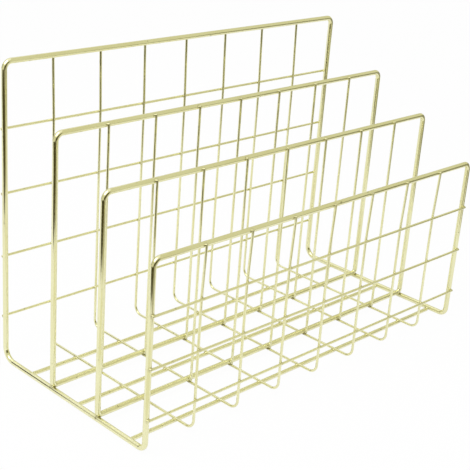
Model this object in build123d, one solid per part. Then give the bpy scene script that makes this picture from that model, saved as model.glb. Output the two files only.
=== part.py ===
from build123d import *
import os
from math import sqrt

# Letter rack of welded wire. Four upright panels, stepped down from back to front,
# stand on an open wire base and leave three slots between them.
# Millimetres, +Z up, +X along the panels, the low front panel towards -Y.
# The origin is on the table, under the middle of the rack.

# Wire diameters
frame_wire = 3.8
brace_wire = 2.8
mesh_wire = 1.8

# Depth to which two crossing wires sink into each other at a weld
weld_set_down = 0.3

# Width between the axes of the side uprights, and the mesh columns across it
rack_width = 316.0
column_count = 8

# Slot sizes from panel axis to panel axis
rear_slot = 54.5
middle_slot = 48.0
front_slot = 46.5

# Heights of the four top rails above the table, at the wire axis
back_height = 214.0
rear_divider_height = 181.0
front_divider_height = 157.5
front_height = 131.0

# Level mesh wires, evenly spaced from the lowest one's height above the table to the top rail
back_level_count = 4
back_lowest_level = 35.0
front_level_count = 3
front_lowest_level = 25.0

# Distance of the foremost base brace behind the front panel
front_brace_setback = 17.0

# How far a brace end runs in under the flank of a side rail
brace_end_lap = 0.9

# How far a mesh wire runs on past the axis of a frame wire that it ends on
mesh_end_reach = 1.2

# Bend radii at the wire axis
top_corner_bend = 6.5
base_corner_bend = 5.5
divider_foot_bend = 3.0
mesh_bend = 6.5
mesh_spring_bend = 60.0

# Radii and half width
frame_radius = frame_wire / 2
brace_radius = brace_wire / 2
mesh_radius = mesh_wire / 2
half_width = rack_width / 2

# Panel places along Y
rack_depth = rear_slot + middle_slot + front_slot
back_y = rack_depth / 2
rear_divider_y = back_y - rear_slot
front_divider_y = rear_divider_y - middle_slot
front_y = front_divider_y - front_slot

# Axis heights of the base, stacked up from the table:
# braces, then the mesh wires across them, then the foot rails of the dividers
brace_z = brace_radius
mesh_z = brace_z + brace_radius + mesh_radius - weld_set_down
foot_rail_z = mesh_z + mesh_radius + frame_radius - weld_set_down

# The side rails lie where the bent foot corners of the dividers rest on them
foot_reach = divider_foot_bend + 2 * frame_radius - weld_set_down
side_rail_z = foot_rail_z + divider_foot_bend - sqrt(foot_reach**2 - divider_foot_bend**2)

# A mesh wire that is welded to the face of a frame wire lies this far from its axis
face_offset = frame_radius + mesh_radius - weld_set_down

# The U-shaped mesh wires lie flush with the outer side of the uprights, so that the level
# wires lap over both, and spring out above the top level wire to lap over the top rail
flush_offset = frame_radius - mesh_radius
level_half_length = half_width + mesh_end_reach

# Heights of the level wires, from the top down
back_pitch = (back_height - back_lowest_level) / back_level_count
front_pitch = (front_height - front_lowest_level) / front_level_count
back_levels = [back_height - back_pitch * i for i in range(1, back_level_count + 1)]
front_levels = [front_height - front_pitch * i for i in range(1, front_level_count + 1)]

brace_half_length = half_width - frame_radius + brace_end_lap
brace_places = [
    (back_y + rear_divider_y) / 2,
    (rear_divider_y + front_divider_y) / 2,
    front_y + front_brace_setback,
]
column_pitch = rack_width / column_count
column_places = [column_pitch * i - half_width for i in range(1, column_count)]


def bent_wire(diameter, points, bends):
    """One wire of round section along straight runs joined by tangent bends."""
    path = FilletPolyline(*points, radius=bends)
    section = Plane(origin=path @ 0, z_dir=path % 0) * Circle(diameter / 2)
    return sweep(section, path=path)


def straight_wire(diameter, start, end):
    """One straight wire of round section with square ends."""
    axis = Vector(*end) - Vector(*start)
    return extrude(Plane(origin=start, z_dir=axis) * Circle(diameter / 2), axis.length)


def closed_frame(half):
    """The whole loop of a frame, from its right half."""
    return half + mirror(half, about=Plane.YZ)


def make_outer_frame():
    """Back panel, side rails and front panel, bent from one length of frame wire."""
    right_half = [
        (0, back_y, back_height),
        (half_width, back_y, back_height),
        (half_width, back_y, side_rail_z),
        (half_width, front_y, side_rail_z),
        (half_width, front_y, front_height),
        (0, front_y, front_height),
    ]
    bends = [top_corner_bend, base_corner_bend, base_corner_bend, top_corner_bend]
    return closed_frame(bent_wire(frame_wire, right_half, bends))


def make_divider_frame(place, height):
    """Closed rectangle whose foot corners are seated on the side rails."""
    right_half = [
        (0, place, height),
        (half_width, place, height),
        (half_width, place, foot_rail_z),
        (0, place, foot_rail_z),
    ]
    return closed_frame(bent_wire(frame_wire, right_half, [top_corner_bend, divider_foot_bend]))


def make_mesh_wire(column):
    """U-shaped wire: down the back panel, forward along the base and up the front panel."""
    back = back_y + flush_offset
    front = front_y - flush_offset
    points = [
        (column, back_y + face_offset, back_height + mesh_end_reach),
        (column, back, back_levels[0]),
        (column, back, mesh_z),
        (column, front, mesh_z),
        (column, front, front_levels[0]),
        (column, front_y - face_offset, front_height + mesh_end_reach),
    ]
    return bent_wire(mesh_wire, points, [mesh_spring_bend, mesh_bend, mesh_bend, mesh_spring_bend])


def make_level_wire(place, level):
    """Level mesh wire of a panel, from one side upright to the other."""
    left_end = (-level_half_length, place, level)
    right_end = (level_half_length, place, level)
    return straight_wire(mesh_wire, left_end, right_end)


def make_brace(place):
    """Base brace between the side rails, which the rack stands on."""
    left_end = (-brace_half_length, place, brace_z)
    right_end = (brace_half_length, place, brace_z)
    return straight_wire(brace_wire, left_end, right_end)


def make_divider_wire(column, place, height):
    """Upright wire on the front face of a divider, from its foot rail to its top rail."""
    face = place - face_offset
    foot_end = (column, face, foot_rail_z - mesh_end_reach)
    top_end = (column, face, height + mesh_end_reach)
    return straight_wire(mesh_wire, foot_end, top_end)


def numbered(name, shapes):
    """Node names for like pieces, counted from 1."""
    return {f"{name}_{i}": shape for i, shape in enumerate(shapes, 1)}


# The heavy frames stay whole, and each lighter wire is seated on what carries it
outer_frame = make_outer_frame()
rear_divider = make_divider_frame(rear_divider_y, rear_divider_height) - outer_frame
front_divider = make_divider_frame(front_divider_y, front_divider_height) - outer_frame
frames = [outer_frame, rear_divider, front_divider]

mesh_wires = [make_mesh_wire(x) - frames for x in column_places]
carriers = [outer_frame, *mesh_wires]

back_level_wires = [make_level_wire(back_y + face_offset, z) for z in back_levels]
front_level_wires = [make_level_wire(front_y - face_offset, z) for z in front_levels]
braces = [make_brace(y) for y in brace_places]

rear_uprights = [make_divider_wire(x, rear_divider_y, rear_divider_height) for x in column_places]
front_uprights = [make_divider_wire(x, front_divider_y, front_divider_height) for x in column_places]

pieces = {
    "outer_frame": outer_frame,
    "rear_divider_frame": rear_divider,
    "front_divider_frame": front_divider,
    **numbered("mesh_wire", mesh_wires),
    **numbered("back_level_wire", [wire - carriers for wire in back_level_wires]),
    **numbered("front_level_wire", [wire - carriers for wire in front_level_wires]),
    **numbered("base_brace", [brace - carriers for brace in braces]),
    **numbered("rear_divider_wire", [wire - rear_divider for wire in rear_uprights]),
    **numbered("front_divider_wire", [wire - front_divider for wire in front_uprights]),
}

os.makedirs("parts", exist_ok=True)
for name, shape in pieces.items():
    export_step(shape, f"parts/{name}.step")
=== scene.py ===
from collections import namedtuple
from functools import cache
from math import cos, pi, radians, sin

import bpy
import numpy as np
from bpy.props import FloatProperty, FloatVectorProperty, IntProperty, PointerProperty
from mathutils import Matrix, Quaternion, Vector


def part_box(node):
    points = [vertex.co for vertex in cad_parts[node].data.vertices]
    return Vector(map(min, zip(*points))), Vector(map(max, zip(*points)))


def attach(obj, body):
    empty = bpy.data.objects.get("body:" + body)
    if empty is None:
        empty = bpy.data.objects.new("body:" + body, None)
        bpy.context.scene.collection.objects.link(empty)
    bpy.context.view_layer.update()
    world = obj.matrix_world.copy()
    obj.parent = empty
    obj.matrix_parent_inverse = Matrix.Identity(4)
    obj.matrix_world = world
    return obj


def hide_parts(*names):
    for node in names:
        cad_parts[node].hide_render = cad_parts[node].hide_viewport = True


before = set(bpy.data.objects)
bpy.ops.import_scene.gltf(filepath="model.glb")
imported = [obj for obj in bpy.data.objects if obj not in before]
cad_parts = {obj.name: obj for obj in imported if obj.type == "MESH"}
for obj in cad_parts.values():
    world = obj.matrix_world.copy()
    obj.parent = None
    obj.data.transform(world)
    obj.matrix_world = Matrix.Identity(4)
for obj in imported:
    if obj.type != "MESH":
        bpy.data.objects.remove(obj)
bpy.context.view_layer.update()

bl_info = {
    "name": "Letter Rack",
    "version": (1, 0, 0),
    "blender": (4, 5, 0),
    "location": "View3D > Sidebar > Letter Rack",
    "description": "Builds the plated wires of a desk letter rack over its frame",
    "category": "Object",
}

MM = 0.001
BODY = "root"
FINISH_SLOT = "plated_wire"
WHITE = (1.0, 1.0, 1.0)
X_AXIS = (1.0, 0.0, 0.0)
Y_AXIS = (0.0, 1.0, 0.0)
Z_AXIS = (0.0, 0.0, 1.0)

# Stations along a straight run: about a weld, in the scale in which the reach of the weld marks counts as
# STATION_REACH, and at a cut end, as shares of its rounding
WELD_STATIONS = np.array([-2.6, -1.7, -1.1, -0.7, -0.35, 0.0, 0.35, 0.7, 1.1, 1.7, 2.6])
STATION_REACH = 1.5
CUT_STATIONS = np.array([0.08, 0.25, 0.55, 1.0])
LONGEST_STEP = 20 * MM
SHORTEST_STEP = 0.02 * MM

# Share of the radius that stays flat at a cut end
CUT_FACE = 0.4

# How dark a weld's mark is, from 0 to 1: a heat mark at the thin wires and the brace ends, a dark mark
# under the divider corners on the side rails, and under the foot rails on the mesh wires a heat tint with
# painted shade of the crease where the mesh wire comes out from under the rail
LAP_HEAT = 0.35
SEAT_MARK = 0.8
FOOT_HEAT_AND_SHADE = 1.0

# Share of a heavy wire's radius that a weld on it takes in
UPRIGHT_BITE = 0.7
RAIL_BITE = 0.6
FOOT_BITE = 0.8

# Grain of the plating, per metre: along and around a wire, and in clouds over the whole rack
DRAWN_GRAIN = (60.0, 4200.0, 4200.0)
RIPPLE_GRAIN = (260.0, 420.0, 420.0)
PIT_GRAIN = (300.0, 520.0, 520.0)
CLOUD_GRAIN = 34.0

# Height of the lying cards above the floor, and the camera's sensor width in millimetres
CARD_LIFT = 1 * MM
SENSOR_WIDTH = 36.0


# Places and gauges read from the frame


@cache
def box(node):
    """Lowest and highest corner of a node."""
    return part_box(node)


def middle(node):
    """Middle of a node's box."""
    low, high = box(node)
    return (low + high) / 2


def span(node):
    """Size of a node's box."""
    low, high = box(node)
    return high - low


def like(kind):
    """Names of the nodes of one kind of wire, in the order of their numbers."""
    found = [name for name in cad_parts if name.startswith(kind + "_")]
    return sorted(found, key=lambda name: int(name.rsplit("_", 1)[1]))


class RackSizes(bpy.types.PropertyGroup):
    """Gauges, bends and weld sizes of the rack."""

    frame_wire: FloatProperty(
        name="Frame wire",
        description="Diameter of the wire of the outer frame and the dividers",
        default=span("rear_divider_frame").y,
        unit="LENGTH",
    )
    brace_wire: FloatProperty(
        name="Brace wire",
        description="Diameter of the base braces",
        default=span("base_brace_1").y,
        unit="LENGTH",
    )
    mesh_wire: FloatProperty(
        name="Mesh wire",
        description="Diameter of the upright and level mesh wires",
        default=span("mesh_wire_1").x,
        unit="LENGTH",
    )
    top_corner_bend: FloatProperty(
        name="Top corner bend",
        description="Bend radius at the upper corners of the panels, at the wire axis",
        default=5.2 * MM,
        unit="LENGTH",
    )
    front_base_bend: FloatProperty(
        name="Front base bend",
        description="Bend radius from the side rails up into the front panel",
        default=5.5 * MM,
        unit="LENGTH",
    )
    back_base_bend: FloatProperty(
        name="Back base bend",
        description="Bend radius from the side rails up into the back panel",
        default=9.0 * MM,
        unit="LENGTH",
    )
    divider_foot_bend: FloatProperty(
        name="Divider foot bend",
        description="Bend radius at the feet of the dividers",
        default=3.0 * MM,
        unit="LENGTH",
    )
    mesh_bend: FloatProperty(
        name="Mesh bend",
        description="Bend radius of the mesh wires between base and panel",
        default=6.5 * MM,
        unit="LENGTH",
    )
    mesh_spring_bend: FloatProperty(
        name="Mesh spring bend",
        description="Bend radius where a mesh wire springs out towards the face of a top rail",
        default=60.0 * MM,
        unit="LENGTH",
    )
    cut_round: FloatProperty(
        name="Cut end rounding",
        description="Length over which the end of a wire is rounded off",
        default=0.6 * MM,
        unit="LENGTH",
    )
    weld_spread: FloatProperty(
        name="Weld spread",
        description="How far weld metal stands out beside a wire, as a share of its radius",
        default=0.35,
        min=0.0,
    )
    weld_thickness: FloatProperty(
        name="Weld thickness",
        description="Half thickness of the weld metal, as a share of the thinner wire's radius",
        default=0.75,
        min=0.1,
    )
    # Reach of the weld marks: the heat marks and the painted crease shade under the foot rails alike
    heat_and_shade_reach: FloatProperty(
        name="Heat reach",
        description="Distance over which a heat mark fades out, longer at a hotter weld",
        default=1.5 * MM,
        unit="LENGTH",
    )
    frame_sides: IntProperty(
        name="Sides of heavy wire",
        description="Faces around the frame and brace wires",
        default=28,
        min=8,
    )
    mesh_sides: IntProperty(
        name="Sides of mesh wire",
        description="Faces around the mesh wires",
        default=20,
        min=8,
    )


class RackFinish(bpy.types.PropertyGroup):
    """Colours and polish of the plating."""

    plating: FloatVectorProperty(
        name="Plating",
        description="Pale gold of the bright plating",
        subtype="COLOR",
        size=3,
        default=(0.875, 0.858, 0.55),
    )
    deep_plating: FloatVectorProperty(
        name="Deep plating",
        description="Warmer gold where the plating lies thicker",
        subtype="COLOR",
        size=3,
        default=(0.84, 0.812, 0.49),
    )
    # Tint of the heat marks, and of the painted shade in the crease where a mesh wire comes out from
    # under a foot rail
    heat_and_shade_tint: FloatVectorProperty(
        name="Weld tint",
        description="Dark brown left by the heat of a weld",
        subtype="COLOR",
        size=3,
        default=(0.22, 0.18, 0.06),
    )
    pit_tint: FloatVectorProperty(
        name="Pit tint",
        description="Dark speck where the plating has a pit",
        subtype="COLOR",
        size=3,
        default=(0.16, 0.14, 0.05),
    )
    polish: FloatProperty(
        name="Polish",
        description="Roughness of the cleanest plating",
        default=0.09,
        min=0.0,
        max=1.0,
    )


class RackStage(bpy.types.PropertyGroup):
    """Camera, floor, cards and lamp."""

    camera_place: FloatVectorProperty(
        name="Camera place",
        description="Where the camera stands",
        subtype="TRANSLATION",
        size=3,
        default=(-0.55323, -0.51404, 0.38776),
    )
    camera_target: FloatVectorProperty(
        name="Camera target",
        description="Point in the middle of the picture",
        subtype="TRANSLATION",
        size=3,
        default=(-0.01428, 0.0, 0.08732),
    )
    camera_roll: FloatProperty(
        name="Camera roll",
        description="Tilt of the camera about its line of sight, right side up",
        default=radians(4.35),
        subtype="ANGLE",
    )
    camera_lens: FloatProperty(
        name="Camera lens",
        description="Focal length for a 36 mm wide sensor",
        default=86.07,
        min=1.0,
    )
    floor_half: FloatProperty(
        name="Floor half size",
        description="Half the side of the white floor",
        default=6.0,
        unit="LENGTH",
    )
    floor_shade: FloatVectorProperty(
        name="Floor shade",
        description="Colour of the floor where it takes light and shadow",
        subtype="COLOR",
        size=3,
        default=(0.95, 0.95, 0.95),
    )
    floor_shown: FloatProperty(
        name="Floor shown",
        description="Share of plain white in the floor as the camera sees it",
        default=0.96,
        min=0.0,
        max=1.0,
    )
    floor_mirrored: FloatProperty(
        name="Floor mirrored",
        description="Share of plain white in the floor as the wires mirror it",
        default=0.5,
        min=0.0,
        max=1.0,
    )
    dark_card: FloatVectorProperty(
        name="Dark card",
        description="Shade of the dark brown cards on the left and in front",
        subtype="COLOR",
        size=3,
        default=(0.07, 0.06, 0.02),
    )
    dusky_card: FloatVectorProperty(
        name="Dusky card",
        description="Shade of the brown cards on the right",
        subtype="COLOR",
        size=3,
        default=(0.24, 0.23, 0.15),
    )
    grey_card: FloatVectorProperty(
        name="Grey card",
        description="Shade of the card on the floor in front",
        subtype="COLOR",
        size=3,
        default=(0.46, 0.44, 0.34),
    )
    # Painted shade: this card stands in for the shaded floor by the front left corner, as the wires
    # mirror it
    pale_shade_card: FloatVectorProperty(
        name="Pale card",
        description="Shade of the card on the floor by the front left corner",
        subtype="COLOR",
        size=3,
        default=(0.87, 0.86, 0.73),
    )
    cream_card: FloatVectorProperty(
        name="Cream card",
        description="Shade of the tall cards around the stage and of the far floor on the right",
        subtype="COLOR",
        size=3,
        default=(0.72, 0.708, 0.56),
    )
    fill: FloatProperty(
        name="Fill",
        description="Strength of the white surroundings as a light",
        default=0.7,
        min=0.0,
    )
    lamp_power: FloatProperty(
        name="Lamp power",
        description="Power of the soft lamp on the upper left, in watts",
        default=9.0,
        min=0.0,
    )
    lamp_size: FloatProperty(
        name="Lamp size",
        description="Side of the soft lamp on the upper left",
        default=1.0,
        unit="LENGTH",
    )
    lamp_place: FloatVectorProperty(
        name="Lamp place",
        description="Where the soft lamp hangs",
        subtype="TRANSLATION",
        size=3,
        default=(-0.8, -0.1, 1.4),
    )
    lamp_target: FloatVectorProperty(
        name="Lamp target",
        description="Point that the soft lamp is aimed at",
        subtype="TRANSLATION",
        size=3,
        default=(0.0, 0.0, 0.1),
    )


class Places:
    """Where the wires of the rack lie, at their axes."""

    def __init__(self):
        sizes = bpy.context.scene.rack_sizes
        self.frame_radius = sizes.frame_wire / 2
        self.brace_radius = sizes.brace_wire / 2
        self.mesh_radius = sizes.mesh_wire / 2
        low, high = box("outer_frame")
        self.half_width = high.x - self.frame_radius
        self.back_y = high.y - self.frame_radius
        self.front_y = low.y + self.frame_radius
        self.side_rail_z = low.z + self.frame_radius
        self.back_height = high.z - self.frame_radius
        self.uprights = [-self.half_width, self.half_width]
        self.columns = [middle(node).x for node in like("mesh_wire")]
        self.back_levels = [middle(node).z for node in like("back_level_wire")]
        self.front_levels = [middle(node).z for node in like("front_level_wire")]
        # The front top rail lies one step above the highest level wire
        self.front_height = 2 * self.front_levels[0] - self.front_levels[1]
        self.face_offset = middle("back_level_wire_1").y - self.back_y
        # The mesh wires lie flush with the outer side of the uprights
        flush_offset = self.frame_radius - self.mesh_radius
        self.mesh_back_y = self.back_y + flush_offset
        self.mesh_front_y = self.front_y - flush_offset
        self.mesh_z = box("mesh_wire_1")[0].z + self.mesh_radius
        self.foot_rail_z = box("rear_divider_frame")[0].z + self.frame_radius
        self.mesh_end_reach = self.foot_rail_z - box("rear_divider_wire_1")[0].z


# Wire shapes

# heat: how dark a weld marks the wire; under the foot rails it is a heat tint with painted crease shade
WeldSpot = namedtuple("WeldSpot", "point along across depth heat")


def unit(vector):
    """The vector at length 1."""
    return vector / np.linalg.norm(vector)


def bent_line(corners, bends, closed=False, arc_steps=10):
    """Points and headings along a bent wire: straight runs joined by tangent arcs.

    A quarter turn gets arc_steps steps, and a smaller one fewer.
    """
    corners = [np.array(corner, float) for corner in corners]
    count = len(corners)
    points = []
    headings = []
    if not closed:
        points.append(corners[0])
        headings.append(unit(corners[1] - corners[0]))
    turns = range(count) if closed else range(1, count - 1)
    for turn, bend in zip(turns, bends):
        here = corners[turn]
        way_in = unit(here - corners[turn - 1])
        way_out = unit(corners[(turn + 1) % count] - here)
        angle = np.arccos(way_in @ way_out)
        start = here - way_in * bend * np.tan(angle / 2)
        inward = unit(way_out - way_in * (way_in @ way_out))
        hub = start + inward * bend
        steps = max(2, round(arc_steps * angle / (pi / 2)))
        for swing in np.linspace(0, angle, steps + 1):
            points.append(hub + bend * (way_in * sin(swing) - inward * cos(swing)))
            headings.append(way_in * cos(swing) + inward * sin(swing))
    if not closed:
        points.append(corners[-1])
        headings.append(unit(corners[-1] - corners[-2]))
    return np.array(points), np.array(headings)


def divided_runs(points, headings, closed, spots, radius, reach, cut_round):
    """Adds stations to the straight runs: at the cut ends, near each weld, and evenly between them."""
    near = WELD_STATIONS * reach / STATION_REACH
    cut = CUT_STATIONS * cut_round
    new_points = []
    new_headings = []
    count = len(points)
    for i in range(count):
        new_points.append(points[i])
        new_headings.append(headings[i])
        if i + 1 == count and not closed:
            break
        step = points[(i + 1) % count] - points[i]
        length = np.linalg.norm(step)
        straight = unit(step) @ headings[i] > 1 - 1e-7
        if not straight:
            continue
        way = step / length
        even_steps = int(np.ceil(length / LONGEST_STEP))
        marks = list(np.linspace(0, length, even_steps + 1)[1:-1])
        if not closed and i == 0:
            marks.extend(cut)
        if not closed and i + 2 == count:
            marks.extend(length - cut)
        for spot in spots:
            along = (spot - points[i]) @ way
            aside = np.linalg.norm(spot - points[i] - way * along)
            if aside < radius + reach and -reach < along < length + reach:
                marks.extend(along + near)
        last = 0.0
        for mark in sorted(marks):
            if mark - last > SHORTEST_STEP and length - mark > SHORTEST_STEP:
                new_points.append(points[i] + way * mark)
                new_headings.append(headings[i])
                last = mark
    return np.array(new_points), np.array(new_headings)


def carried_sides(headings, lengths, closed):
    """A sideways direction at each station, carried along the wire without twist."""
    first = headings[0]
    helper = np.array((0.0, 0.0, 1.0)) if abs(first[2]) < 0.9 else np.array((1.0, 0.0, 0.0))
    side = unit(np.cross(first, helper))
    sides = [side]
    for heading in headings[1:]:
        side = unit(side - heading * (side @ heading))
        sides.append(side)
    sides = np.array(sides)
    if closed:
        end = unit(sides[-1] - first * (sides[-1] @ first))
        twist = np.arctan2(np.cross(sides[0], end) @ first, sides[0] @ end)
        turn = -twist * lengths / lengths[-1]
        ups = np.cross(headings, sides)
        sides = sides * np.cos(turn)[:, None] + ups * np.sin(turn)[:, None]
    return sides


class WireShape:
    """Mesh of one wire and its welds, with the marks that the finish reads."""

    def __init__(self, welds):
        self.sizes = bpy.context.scene.rack_sizes
        self.welds = welds
        self.spots = np.array([weld.point for weld in welds])
        self.points = np.zeros((0, 3))
        self.place = np.zeros((0, 3))
        self.faces = []
        self.flat = []

    def wire(self, corners, bends, radius, sides, closed=False):
        """Round wire along a bent line."""
        points, headings = bent_line(corners, bends, closed)
        points, headings = divided_runs(
            points, headings, closed, self.spots, radius, self.sizes.heat_and_shade_reach, self.sizes.cut_round
        )
        steps = np.linalg.norm(np.diff(points, axis=0), axis=1)
        lengths = np.concatenate(([0.0], np.cumsum(steps)))
        out = carried_sides(headings, lengths, closed)
        up = np.cross(headings, out)
        radii = np.full(len(points), radius)
        if not closed:
            from_end = np.minimum(lengths, lengths[-1] - lengths)
            rounding = np.clip(1 - from_end / self.sizes.cut_round, 0, 1)
            radii = radius * (CUT_FACE + (1 - CUT_FACE) * np.sqrt(1 - rounding**2))
        angles = np.linspace(0, 2 * pi, sides, endpoint=False)
        turns = np.stack((np.cos(angles), np.sin(angles)), axis=1)[None]
        ring = turns[:, :, :1] * out[:, None, :] + turns[:, :, 1:] * up[:, None, :]
        skin = points[:, None, :] + radii[:, None, None] * ring
        around = radii[:, None, None] * turns
        along = np.repeat(lengths, sides)[:, None]
        first = len(self.points)
        rings = len(points)
        self.points = np.vstack((self.points, skin.reshape(-1, 3)))
        self.place = np.vstack((self.place, np.hstack((along, around.reshape(-1, 2)))))
        for i in range(rings if closed else rings - 1):
            here = first + i * sides
            after = first + (i + 1) % rings * sides
            for k in range(sides):
                k_next = (k + 1) % sides
                self.faces.append((here + k, here + k_next, after + k_next, after + k))
        if not closed:
            self.flat.append(len(self.faces))
            self.faces.append(tuple(range(first + sides - 1, first - 1, -1)))
            self.flat.append(len(self.faces))
            self.faces.append(tuple(range(first + (rings - 1) * sides, first + rings * sides)))

    def nugget(self, weld, number, rows=8, columns=16):
        """Metal squeezed out at a weld: a flattened bead with an uneven rim."""
        first = len(self.points)
        phase = 2.4 * number
        double_lump = 0.09
        triple_lump = 0.06
        made = [weld.point + weld.depth]
        for row in range(1, rows):
            polar = pi * row / rows
            for column in range(columns):
                turn = 2 * pi * column / columns
                lump = 1 + double_lump * sin(2 * turn + phase) + triple_lump * sin(3 * turn + 1.7 * phase)
                rim = (weld.along * cos(turn) + weld.across * sin(turn)) * lump
                made.append(weld.point + rim * sin(polar) + weld.depth * cos(polar))
        made.append(weld.point - weld.depth)
        self.points = np.vstack((self.points, np.array(made)))
        self.place = np.vstack((self.place, np.array(made)))
        last = len(self.points) - 1
        hand = np.cross(weld.along, weld.across) @ weld.depth > 0
        new_faces = []
        for column in range(columns):
            after = (column + 1) % columns
            new_faces.append((first, first + 1 + column, first + 1 + after))
            for row in range(rows - 2):
                above = first + 1 + row * columns
                below = above + columns
                new_faces.append((above + column, below + column, below + after, above + after))
            edge = last - columns
            new_faces.append((last, edge + after, edge + column))
        self.faces.extend(new_faces if hand else [face[::-1] for face in new_faces])

    def heat(self):
        """How strongly the welds mark each point, from 0 to 1, with heat marks and painted crease shade
        under the foot rails; a darker mark reaches further.
        """
        full_share = 0.6
        least_reach = 0.65
        marks = np.zeros(len(self.points))
        for weld in self.welds:
            size = (np.linalg.norm(weld.along) + np.linalg.norm(weld.across)) / 2
            distance = np.linalg.norm(self.points - weld.point, axis=1)
            reach = self.sizes.heat_and_shade_reach * (least_reach + weld.heat)
            fade = np.clip((distance - full_share * size) / reach, 0, 4)
            marks = np.maximum(marks, weld.heat * np.exp(-(fade**2) * 3))
        return marks

    def make(self, node):
        """Makes the piece that stands for a node."""
        mesh = bpy.data.meshes.new(node)
        mesh.from_pydata(self.points.tolist(), [], self.faces)
        smooth = np.ones(len(self.faces), bool)
        smooth[self.flat] = False
        mesh.polygons.foreach_set("use_smooth", smooth)
        place = mesh.attributes.new("wire_place", "FLOAT_VECTOR", "POINT")
        place.data.foreach_set("vector", self.place.astype(np.float32).ravel())
        heat = mesh.attributes.new("weld_heat_and_shade", "FLOAT", "POINT")
        heat.data.foreach_set("value", self.heat().astype(np.float32))
        mesh.validate()
        mesh.update()
        mesh.materials.append(plated_wire())
        piece = bpy.data.objects.new(node + "_plated", mesh)
        bpy.context.scene.collection.objects.link(piece)
        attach(piece, BODY)
        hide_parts(node)


# Welds


def crossing_weld(point, along, across, along_radius, across_radius, heat=LAP_HEAT):
    """Weld between two crossing wires that touch at the point."""
    sizes = bpy.context.scene.rack_sizes
    along = np.array(along, float)
    across = np.array(across, float)
    thin = min(along_radius, across_radius)
    return WeldSpot(
        np.array(point, float),
        along * (across_radius + sizes.weld_spread * thin),
        across * (along_radius + sizes.weld_spread * thin),
        np.cross(along, across) * sizes.weld_thickness * thin,
        heat,
    )


def butt_weld(point, rail, wire, radius):
    """Weld where the end of a wire meets the flank of a rail at the point."""
    sizes = bpy.context.scene.rack_sizes
    rail = np.array(rail, float)
    wire = np.array(wire, float)
    upright_spread = 0.6 * sizes.weld_spread
    return WeldSpot(
        np.array(point, float),
        rail * radius * (1 + sizes.weld_spread),
        np.cross(rail, wire) * radius * (1 + upright_spread),
        wire * radius * sizes.weld_thickness,
        LAP_HEAT,
    )


def lap_touch(places, frame_y, outward):
    """Where a mesh wire on the face of a frame wire touches it, along Y."""
    frame_face = frame_y + outward * places.frame_radius
    wire_face = frame_y + outward * (places.face_offset - places.mesh_radius)
    return (frame_face + wire_face) / 2


def level_welds(node):
    """Welds along one level wire, on the side uprights and the mesh wires."""
    places = Places()
    level = middle(node)
    outward = 1 if level.y > 0 else -1
    upright_y = places.back_y if outward > 0 else places.front_y
    mesh_y = places.mesh_back_y if outward > 0 else places.mesh_front_y
    radius = places.mesh_radius
    touch = lap_touch(places, upright_y, outward)
    upright_bite = places.frame_radius * UPRIGHT_BITE
    welds = []
    for x in places.uprights:
        welds.append(crossing_weld((x, touch, level.z), X_AXIS, Z_AXIS, radius, upright_bite))
    touch = (level.y + mesh_y) / 2
    for x in places.columns:
        welds.append(crossing_weld((x, touch, level.z), X_AXIS, Z_AXIS, radius, radius))
    return welds


def brace_welds(node):
    """Welds along one base brace, under the mesh wires and at its ends."""
    places = Places()
    brace = middle(node)
    touch = (brace.z + places.brace_radius + places.mesh_z - places.mesh_radius) / 2
    welds = [
        crossing_weld((x, brace.y, touch), X_AXIS, Y_AXIS, places.brace_radius, places.mesh_radius)
        for x in places.columns
    ]
    end = span(node).x / 2 - 0.3 * places.brace_radius
    height = brace.z + 0.5 * places.brace_radius
    for side in (-1, 1):
        point = (side * end, brace.y, height)
        welds.append(butt_weld(point, Y_AXIS, (side, 0.0, 0.0), places.brace_radius))
    return welds


def foot_welds(node):
    """Welds along the foot rail of a divider, on the mesh wires and the side rails."""
    places = Places()
    sizes = bpy.context.scene.rack_sizes
    divider = middle(node)
    touch = (places.mesh_z + places.mesh_radius + places.foot_rail_z - places.frame_radius) / 2
    foot_bite = places.frame_radius * FOOT_BITE
    welds = []
    for x in places.columns:
        # Under the foot rail the mark is a heat tint with painted shade of the crease where the mesh wire
        # comes out
        point = (x, divider.y, touch)
        welds.append(crossing_weld(point, X_AXIS, Y_AXIS, foot_bite, places.mesh_radius, FOOT_HEAT_AND_SHADE))
    bend = sizes.divider_foot_bend
    corner_bite = places.frame_radius * RAIL_BITE
    for side in (-1, 1):
        hub = np.array((side * (places.half_width - bend), divider.y, places.foot_rail_z + bend))
        rail = np.array((side * places.half_width, divider.y, places.side_rail_z))
        away = unit(rail - hub)
        seat = (hub + away * (bend + places.frame_radius) + rail - away * places.frame_radius) / 2
        round_corner = np.cross(away, Y_AXIS)
        welds.append(crossing_weld(seat, Y_AXIS, round_corner, foot_bite, corner_bite, SEAT_MARK))
    return welds


def rail_weld(places, point):
    """Weld of an upright mesh wire on the face of a rail."""
    return crossing_weld(point, X_AXIS, Z_AXIS, places.frame_radius * RAIL_BITE, places.mesh_radius)


def divider_wire_welds(node):
    """Welds where an upright wire of a divider laps over its top rail and foot rail."""
    places = Places()
    divider = node.replace("wire", "frame").rsplit("_", 1)[0]
    touch = lap_touch(places, middle(divider).y, -1)
    x = middle(node).x
    top = box(divider)[1].z - places.frame_radius
    return [rail_weld(places, (x, touch, z)) for z in (top, places.foot_rail_z)]


def mesh_wire_welds(node):
    """Welds where a mesh wire laps over the top rails of the back and front panels."""
    places = Places()
    x = middle(node).x
    back_touch = lap_touch(places, places.back_y, 1)
    front_touch = lap_touch(places, places.front_y, -1)
    return [
        rail_weld(places, (x, back_touch, places.back_height)),
        rail_weld(places, (x, front_touch, places.front_height)),
    ]


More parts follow.
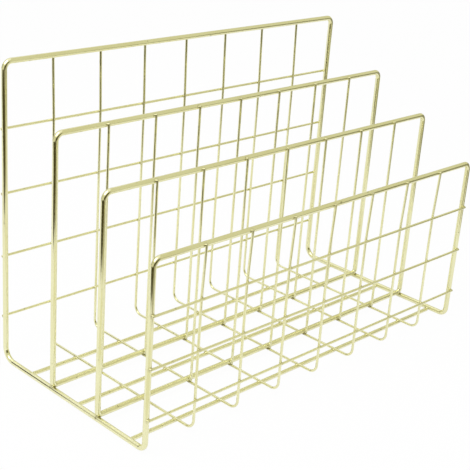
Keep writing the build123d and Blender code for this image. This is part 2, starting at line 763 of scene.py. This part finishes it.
@cache
def all_welds():
    """Every weld of the rack."""
    makers = {
        "back_level_wire": level_welds,
        "front_level_wire": level_welds,
        "base_brace": brace_welds,
        "rear_divider_wire": divider_wire_welds,
        "front_divider_wire": divider_wire_welds,
        "mesh_wire": mesh_wire_welds,
    }
    welds = foot_welds("rear_divider_frame") + foot_welds("front_divider_frame")
    for kind, maker in makers.items():
        for node in like(kind):
            welds.extend(maker(node))
    return welds


def add_nuggets(shape, welds):
    """The weld metal that goes with a wire, with lumps that differ from bead to bead."""
    for number, weld in enumerate(welds):
        shape.nugget(weld, number + len(shape.points) % 7)


# Shader nodes


class Signal:
    """A socket of a shader, used in Python arithmetic."""

    def __init__(self, graph, socket):
        self.graph = graph
        self.socket = socket

    def math(self, operation, first, second):
        """A Math node on two values."""
        return self.graph.node("ShaderNodeMath", {"operation": operation}, {0: first, 1: second})

    def __add__(self, other):
        return self.math("ADD", self, other)

    def __radd__(self, other):
        return self.math("ADD", other, self)

    def __sub__(self, other):
        return self.math("SUBTRACT", self, other)

    def __rsub__(self, other):
        return self.math("SUBTRACT", other, self)

    def __mul__(self, other):
        return self.math("MULTIPLY", self, other)

    def __rmul__(self, other):
        return self.math("MULTIPLY", other, self)


class Graph:
    """The nodes of one shader."""

    def __init__(self, tree):
        self.tree = tree
        tree.nodes.clear()

    def node(self, kind, settings=None, sockets=None, output=0):
        """Adds a node, sets it up, feeds its sockets and gives one of its outputs."""
        made = self.tree.nodes.new(kind)
        for name, value in (settings or {}).items():
            setattr(made, name, value)
        for key, value in (sockets or {}).items():
            if isinstance(value, Signal):
                self.tree.links.new(value.socket, made.inputs[key])
            else:
                made.inputs[key].default_value = value
        return Signal(self, made.outputs[output]) if made.outputs else None

    def blend(self, share, first, second):
        """Mixes two colours."""
        return self.node(
            "ShaderNodeMix", {"data_type": "RGBA"}, {"Factor": share, 6: first, 7: second}, output=2
        )

    def smooth_step(self, value, low, high):
        """0 below low, 1 above high, and smooth between."""
        return self.node(
            "ShaderNodeMapRange",
            {"interpolation_type": "SMOOTHSTEP"},
            {"Value": value, "From Min": low, "From Max": high},
        )


def opaque(colour):
    """The colour with full alpha."""
    return (*colour, 1.0)


def plated_wire():
    """Bright pale-gold plating over drawn steel wire, with heat marks at the welds and painted crease
    shade under the foot rails.
    """
    found = bpy.data.materials.get(FINISH_SLOT + "_finish")
    if found:
        return found
    finish = bpy.context.scene.rack_finish
    material = bpy.data.materials.new(FINISH_SLOT + "_finish")
    material.use_nodes = True
    graph = Graph(material.node_tree)
    place = graph.node("ShaderNodeAttribute", {"attribute_name": "wire_place"}, output="Vector")
    heat = graph.node("ShaderNodeAttribute", {"attribute_name": "weld_heat_and_shade"}, output="Fac")
    spot = graph.node("ShaderNodeTexCoord", output="Object")

    def grain(scale, detail):
        """Noise over the wire, with its own scale along and around."""
        stretched = graph.node("ShaderNodeVectorMath", {"operation": "MULTIPLY"}, {0: place, 1: scale})
        sockets = {"Vector": stretched, "Scale": 1.0, "Detail": detail}
        return graph.node("ShaderNodeTexNoise", {}, sockets)

    cloud_sockets = {"Vector": spot, "Scale": CLOUD_GRAIN, "Detail": 3.0}
    clouds = graph.node("ShaderNodeTexNoise", {}, cloud_sockets)
    drawn = grain(DRAWN_GRAIN, 2.0)
    ripple = grain(RIPPLE_GRAIN, 2.0)
    pits = graph.smooth_step(grain(PIT_GRAIN, 1.0), 0.73, 0.8)
    # Heat marks at the welds, with painted crease shade where a mesh wire comes out from under a foot
    # rail
    heat_and_shade_mark = heat * graph.smooth_step(ripple, 0.15, 0.55)

    thick = graph.smooth_step(clouds, 0.3, 0.75)
    colour = graph.blend(thick, opaque(finish.plating), opaque(finish.deep_plating))
    colour = graph.blend(heat_and_shade_mark * 0.9, colour, opaque(finish.heat_and_shade_tint))
    colour = graph.blend(pits * 0.8, colour, opaque(finish.pit_tint))
    roughness = finish.polish + clouds * 0.05 + drawn * 0.04 + heat_and_shade_mark * 0.25 + pits * 0.3
    relief = drawn * 0.15 + ripple * 0.4 - pits + heat_and_shade_mark * 0.5
    normal = graph.node(
        "ShaderNodeBump", {}, {"Strength": 0.08, "Distance": 0.1 * MM, "Height": relief}
    )
    shader = graph.node(
        "ShaderNodeBsdfPrincipled",
        {},
        {"Base Color": colour, "Metallic": 1.0, "Roughness": roughness, "Normal": normal},
    )
    graph.node("ShaderNodeOutputMaterial", {}, {"Surface": shader})
    return material


# Operators


class RACK_OT_outer_frame(bpy.types.Operator):
    """Bend the outer frame: back panel, side rails and front panel from one wire."""

    bl_idname = "letter_rack.outer_frame"
    bl_label = "Outer frame"

    def execute(self, context):
        sizes = context.scene.rack_sizes
        places = Places()
        left, right = places.uprights
        corners = [
            (left, places.back_y, places.back_height),
            (right, places.back_y, places.back_height),
            (right, places.back_y, places.side_rail_z),
            (right, places.front_y, places.side_rail_z),
            (right, places.front_y, places.front_height),
            (left, places.front_y, places.front_height),
            (left, places.front_y, places.side_rail_z),
            (left, places.back_y, places.side_rail_z),
        ]
        top, front, back = sizes.top_corner_bend, sizes.front_base_bend, sizes.back_base_bend
        bends = [top, top, back, front, top, top, front, back]
        shape = WireShape(all_welds())
        shape.wire(corners, bends, places.frame_radius, sizes.frame_sides, closed=True)
        shape.make("outer_frame")
        return {"FINISHED"}


class RACK_OT_divider_frames(bpy.types.Operator):
    """Bend the two divider frames and weld their feet."""

    bl_idname = "letter_rack.divider_frames"
    bl_label = "Divider frames"

    def execute(self, context):
        sizes = context.scene.rack_sizes
        places = Places()
        left, right = places.uprights
        for node in ("rear_divider_frame", "front_divider_frame"):
            y = middle(node).y
            top = box(node)[1].z - places.frame_radius
            foot = places.foot_rail_z
            corners = [(left, y, top), (right, y, top), (right, y, foot), (left, y, foot)]
            bends = [sizes.top_corner_bend] * 2 + [sizes.divider_foot_bend] * 2
            shape = WireShape(all_welds())
            shape.wire(corners, bends, places.frame_radius, sizes.frame_sides, closed=True)
            add_nuggets(shape, foot_welds(node))
            shape.make(node)
        return {"FINISHED"}


class RACK_OT_mesh_wires(bpy.types.Operator):
    """Bend the U-shaped mesh wires of the back panel, base and front panel, and weld their tops."""

    bl_idname = "letter_rack.mesh_wires"
    bl_label = "Mesh wires"

    def execute(self, context):
        sizes = context.scene.rack_sizes
        places = Places()
        for node in like("mesh_wire"):
            x = middle(node).x
            back_top = places.back_height + places.mesh_end_reach
            front_top = places.front_height + places.mesh_end_reach
            corners = [
                (x, places.back_y + places.face_offset, back_top),
                (x, places.mesh_back_y, places.back_levels[0]),
                (x, places.mesh_back_y, places.mesh_z),
                (x, places.mesh_front_y, places.mesh_z),
                (x, places.mesh_front_y, places.front_levels[0]),
                (x, places.front_y - places.face_offset, front_top),
            ]
            bends = [sizes.mesh_spring_bend, sizes.mesh_bend, sizes.mesh_bend, sizes.mesh_spring_bend]
            shape = WireShape(all_welds())
            shape.wire(corners, bends, places.mesh_radius, sizes.mesh_sides)
            add_nuggets(shape, mesh_wire_welds(node))
            shape.make(node)
        return {"FINISHED"}


class RACK_OT_level_wires(bpy.types.Operator):
    """Lay the level wires over the back and front panels and weld them."""

    bl_idname = "letter_rack.level_wires"
    bl_label = "Level wires"

    def execute(self, context):
        sizes = context.scene.rack_sizes
        places = Places()
        for node in like("back_level_wire") + like("front_level_wire"):
            low, high = box(node)
            level = middle(node)
            corners = [(low.x, level.y, level.z), (high.x, level.y, level.z)]
            shape = WireShape(all_welds())
            shape.wire(corners, [], places.mesh_radius, sizes.mesh_sides)
            add_nuggets(shape, level_welds(node))
            shape.make(node)
        return {"FINISHED"}


class RACK_OT_base_braces(bpy.types.Operator):
    """Lay the braces under the base and weld them."""

    bl_idname = "letter_rack.base_braces"
    bl_label = "Base braces"

    def execute(self, context):
        sizes = context.scene.rack_sizes
        places = Places()
        for node in like("base_brace"):
            low, high = box(node)
            brace = middle(node)
            corners = [(low.x, brace.y, places.brace_radius), (high.x, brace.y, places.brace_radius)]
            shape = WireShape(all_welds())
            shape.wire(corners, [], places.brace_radius, sizes.frame_sides)
            add_nuggets(shape, brace_welds(node))
            shape.make(node)
        return {"FINISHED"}


class RACK_OT_divider_wires(bpy.types.Operator):
    """Lay the upright wires over the front of both dividers and weld them."""

    bl_idname = "letter_rack.divider_wires"
    bl_label = "Divider wires"

    def execute(self, context):
        sizes = context.scene.rack_sizes
        places = Places()
        for node in like("rear_divider_wire") + like("front_divider_wire"):
            low, high = box(node)
            wire = middle(node)
            corners = [(wire.x, wire.y, low.z), (wire.x, wire.y, high.z)]
            shape = WireShape(all_welds())
            shape.wire(corners, [], places.mesh_radius, sizes.mesh_sides)
            add_nuggets(shape, divider_wire_welds(node))
            shape.make(node)
        return {"FINISHED"}


def sheet(name, corners):
    """Flat sheet with the given corners."""
    mesh = bpy.data.meshes.new(name)
    mesh.from_pydata(corners, [], [tuple(range(len(corners)))])
    made = bpy.data.objects.new(name, mesh)
    bpy.context.scene.collection.objects.link(made)
    return made


def card(name, corners, shade):
    """Plain card, seen only in the reflections of the wires."""
    made = sheet(name, corners)
    material = bpy.data.materials.new(name)
    material.use_nodes = True
    graph = Graph(material.node_tree)
    shader = graph.node("ShaderNodeEmission", {}, {"Color": opaque(shade), "Strength": 1.0})
    graph.node("ShaderNodeOutputMaterial", {}, {"Surface": shader})
    made.data.materials.append(material)
    made.visible_camera = False
    made.visible_diffuse = False
    made.visible_shadow = False


def lying_card(name, outline, shade):
    """Card that lies on the floor, with its outline in X and Y."""
    card(name, [(x, y, CARD_LIFT) for x, y in outline], shade)


def standing_card(name, start, end, heights, shade):
    """Card that stands on edge from one point of the floor to another."""
    low, high = heights
    card(name, [(*start, low), (*end, low), (*end, high), (*start, high)], shade)


def side_card(name, x, outline, shade):
    """Card that stands across the X axis, with its outline in Y and Z."""
    card(name, [(x, y, z) for y, z in outline], shade)


def seen_rays(graph, direct, mirrored):
    """Share for what is seen directly, share for what is seen in or through a piece, 0 for light."""
    camera = graph.node("ShaderNodeLightPath", output="Is Camera Ray")
    glossy = graph.node("ShaderNodeLightPath", output="Is Glossy Ray")
    transmission = graph.node("ShaderNodeLightPath", output="Is Transmission Ray")
    return camera * direct + (glossy + transmission) * mirrored


def lay_floor(stage):
    """White floor that keeps the rack's shadow."""
    half = stage.floor_half
    floor = sheet("floor", [(-half, -half, 0), (half, -half, 0), (half, half, 0), (-half, half, 0)])
    material = bpy.data.materials.new("white_floor")
    material.use_nodes = True
    graph = Graph(material.node_tree)
    lit = graph.node("ShaderNodeBsdfDiffuse", {}, {"Color": opaque(stage.floor_shade)})
    white = graph.node("ShaderNodeEmission", {}, {"Color": opaque(WHITE), "Strength": 1.0})
    share = seen_rays(graph, stage.floor_shown, stage.floor_mirrored)
    shown = graph.node("ShaderNodeMixShader", {}, {0: share, 1: lit, 2: white})
    graph.node("ShaderNodeOutputMaterial", {}, {"Surface": shown})
    floor.data.materials.append(material)


def set_cards(stage):
    """Cards on the floor and around the rack, which its wires mirror."""
    left_near = [(-0.33, -0.22), (-0.46, 0.07), (-0.62, 0.12), (-0.7, 0.25)]
    left_far = [(-0.72, 0.45), (-1.5, 0.6), (-1.5, -1.5)]
    seam_far = [(-0.75, -1.2), (-0.55, -0.68), (-0.42, -0.6)]
    seam_near = [(-0.2, -0.66), (-0.24, -0.48), (-0.245, -0.275)]
    seam = seam_far + seam_near
    front_floor = [(-0.1, -0.24), (0.06, -0.25), (0.2, -0.5), (0.25, -1.5), (-0.75, -1.5)]
    right_floor = [(0.29, -0.2), (0.29, -0.75), (0.7, -0.75), (0.7, -0.1)]
    # Painted shade: the near card stands in for the shaded floor by the rack's front left corner, seen in
    # the wires
    near_outer = [(-0.25, -0.05), (-0.32, -0.2), (-0.22, -0.23)]
    near_inner = [(-0.1, -0.22), (-0.12, -0.14), (-0.19, -0.1)]
    cream_near = [(0.7, -0.1), (0.7, -0.75), (0.29, -0.75), (0.29, -0.5), (0.2, -0.5), (0.25, -1.5)]
    cream_far = [(0.25, -4.0), (4.0, -4.0), (4.0, 0.1)]
    lying_card("left_card", left_near + left_far + seam, stage.dark_card)
    lying_card("front_card", front_floor + seam, stage.grey_card)
    lying_card("right_card", right_floor, stage.dusky_card)
    lying_card("near_shade_card", near_outer + near_inner, stage.pale_shade_card)
    lying_card("cream_floor", cream_near + cream_far, stage.cream_card)

    right_room = [(-4, 0), (4, 0), (4, 0.95), (1.5, 0.95), (1.2, 4), (-4, 4)]
    left_room = [(-1.8, 0), (1.22, 0), (1.42, 0.8), (1.8, 1.7), (1.8, 2.4), (-1.8, 2.4)]
    left_band = [(1.3, 0.05), (2.5, 0.05), (2.5, 1.4), (1.66, 1.4)]
    standing_card("front_wall", (-1.2, -1.0), (0.3, -1.0), (0, 0.6), stage.dark_card)
    standing_card("right_wall", (0.8, -0.78), (1.3, 0.3), (0, 0.3), stage.dusky_card)
    side_card("right_room", 1.5, right_room, stage.cream_card)
    standing_card("back_room", (-1.0, 2.2), (1.5, 2.2), (0, 1.8), stage.cream_card)
    standing_card("front_room", (-1.6, -1.8), (1.5, -1.8), (0, 2.5), stage.cream_card)
    side_card("left_room", -1.6, left_room, stage.cream_card)
    side_card("left_band", -1.58, left_band, stage.dark_card)


def light_room(scene, stage):
    """White room as the fill light, and one soft lamp."""
    world = bpy.data.worlds.new("white_room")
    world.use_nodes = True
    scene.world = world
    graph = Graph(world.node_tree)
    fill = graph.node("ShaderNodeBackground", {}, {"Color": opaque(WHITE), "Strength": stage.fill})
    white = graph.node("ShaderNodeBackground", {}, {"Color": opaque(WHITE), "Strength": 1.0})
    share = seen_rays(graph, 1.0, 1.0)
    shown = graph.node("ShaderNodeMixShader", {}, {0: share, 1: fill, 2: white})
    graph.node("ShaderNodeOutputWorld", {}, {"Surface": shown})

    lamp = bpy.data.lights.new("soft_lamp", "AREA")
    lamp.size = stage.lamp_size
    lamp.energy = stage.lamp_power
    lamp_holder = bpy.data.objects.new("soft_lamp", lamp)
    place = Vector(stage.lamp_place)
    aim = (Vector(stage.lamp_target) - place).to_track_quat("-Z", "Y")
    lamp_holder.location = place
    lamp_holder.rotation_euler = aim.to_euler()
    scene.collection.objects.link(lamp_holder)


def set_camera(scene, stage):
    """Camera above the front left corner of the rack."""
    camera = bpy.data.cameras.new("camera")
    camera.lens = stage.camera_lens
    camera.sensor_width = SENSOR_WIDTH
    viewer = bpy.data.objects.new("camera", camera)
    place = Vector(stage.camera_place)
    aim = (Vector(stage.camera_target) - place).to_track_quat("-Z", "Y")
    viewer.location = place
    viewer.rotation_mode = "QUATERNION"
    viewer.rotation_quaternion = aim @ Quaternion(Z_AXIS, stage.camera_roll)
    scene.collection.objects.link(viewer)
    scene.camera = viewer


class RACK_OT_stage(bpy.types.Operator):
    """Set up the floor, the cards, the light and the camera."""

    bl_idname = "letter_rack.stage"
    bl_label = "Stage"

    def execute(self, context):
        scene = context.scene
        scene.view_settings.view_transform = "Standard"
        lay_floor(scene.rack_stage)
        set_cards(scene.rack_stage)
        light_room(scene, scene.rack_stage)
        set_camera(scene, scene.rack_stage)
        return {"FINISHED"}


class RACK_PT_panel(bpy.types.Panel):
    """Lists the steps that build the rack."""

    bl_idname = "RACK_PT_panel"
    bl_label = "Letter Rack"
    bl_space_type = "VIEW_3D"
    bl_region_type = "UI"
    bl_category = "Letter Rack"

    def draw(self, context):
        for step in STEPS:
            self.layout.operator(step.bl_idname)
        for group in (context.scene.rack_sizes, context.scene.rack_finish, context.scene.rack_stage):
            settings = self.layout.box()
            for name in group.__annotations__:
                settings.prop(group, name)


STEPS = (
    RACK_OT_outer_frame,
    RACK_OT_divider_frames,
    RACK_OT_mesh_wires,
    RACK_OT_level_wires,
    RACK_OT_base_braces,
    RACK_OT_divider_wires,
    RACK_OT_stage,
)
CLASSES = (RackSizes, RackFinish, RackStage) + STEPS + (RACK_PT_panel,)


def register():
    """Makes the steps and settings of the rack known to Blender."""
    for cls in CLASSES:
        bpy.utils.register_class(cls)
    bpy.types.Scene.rack_sizes = PointerProperty(type=RackSizes)
    bpy.types.Scene.rack_finish = PointerProperty(type=RackFinish)
    bpy.types.Scene.rack_stage = PointerProperty(type=RackStage)


def unregister():
    """Takes the steps and settings out again."""
    del bpy.types.Scene.rack_stage
    del bpy.types.Scene.rack_finish
    del bpy.types.Scene.rack_sizes
    for cls in reversed(CLASSES):
        bpy.utils.unregister_class(cls)


def main():
    register()
    bpy.ops.letter_rack.outer_frame()
    bpy.ops.letter_rack.divider_frames()
    bpy.ops.letter_rack.mesh_wires()
    bpy.ops.letter_rack.level_wires()
    bpy.ops.letter_rack.base_braces()
    bpy.ops.letter_rack.divider_wires()
    bpy.ops.letter_rack.stage()


if __name__ == "__main__":
    main()
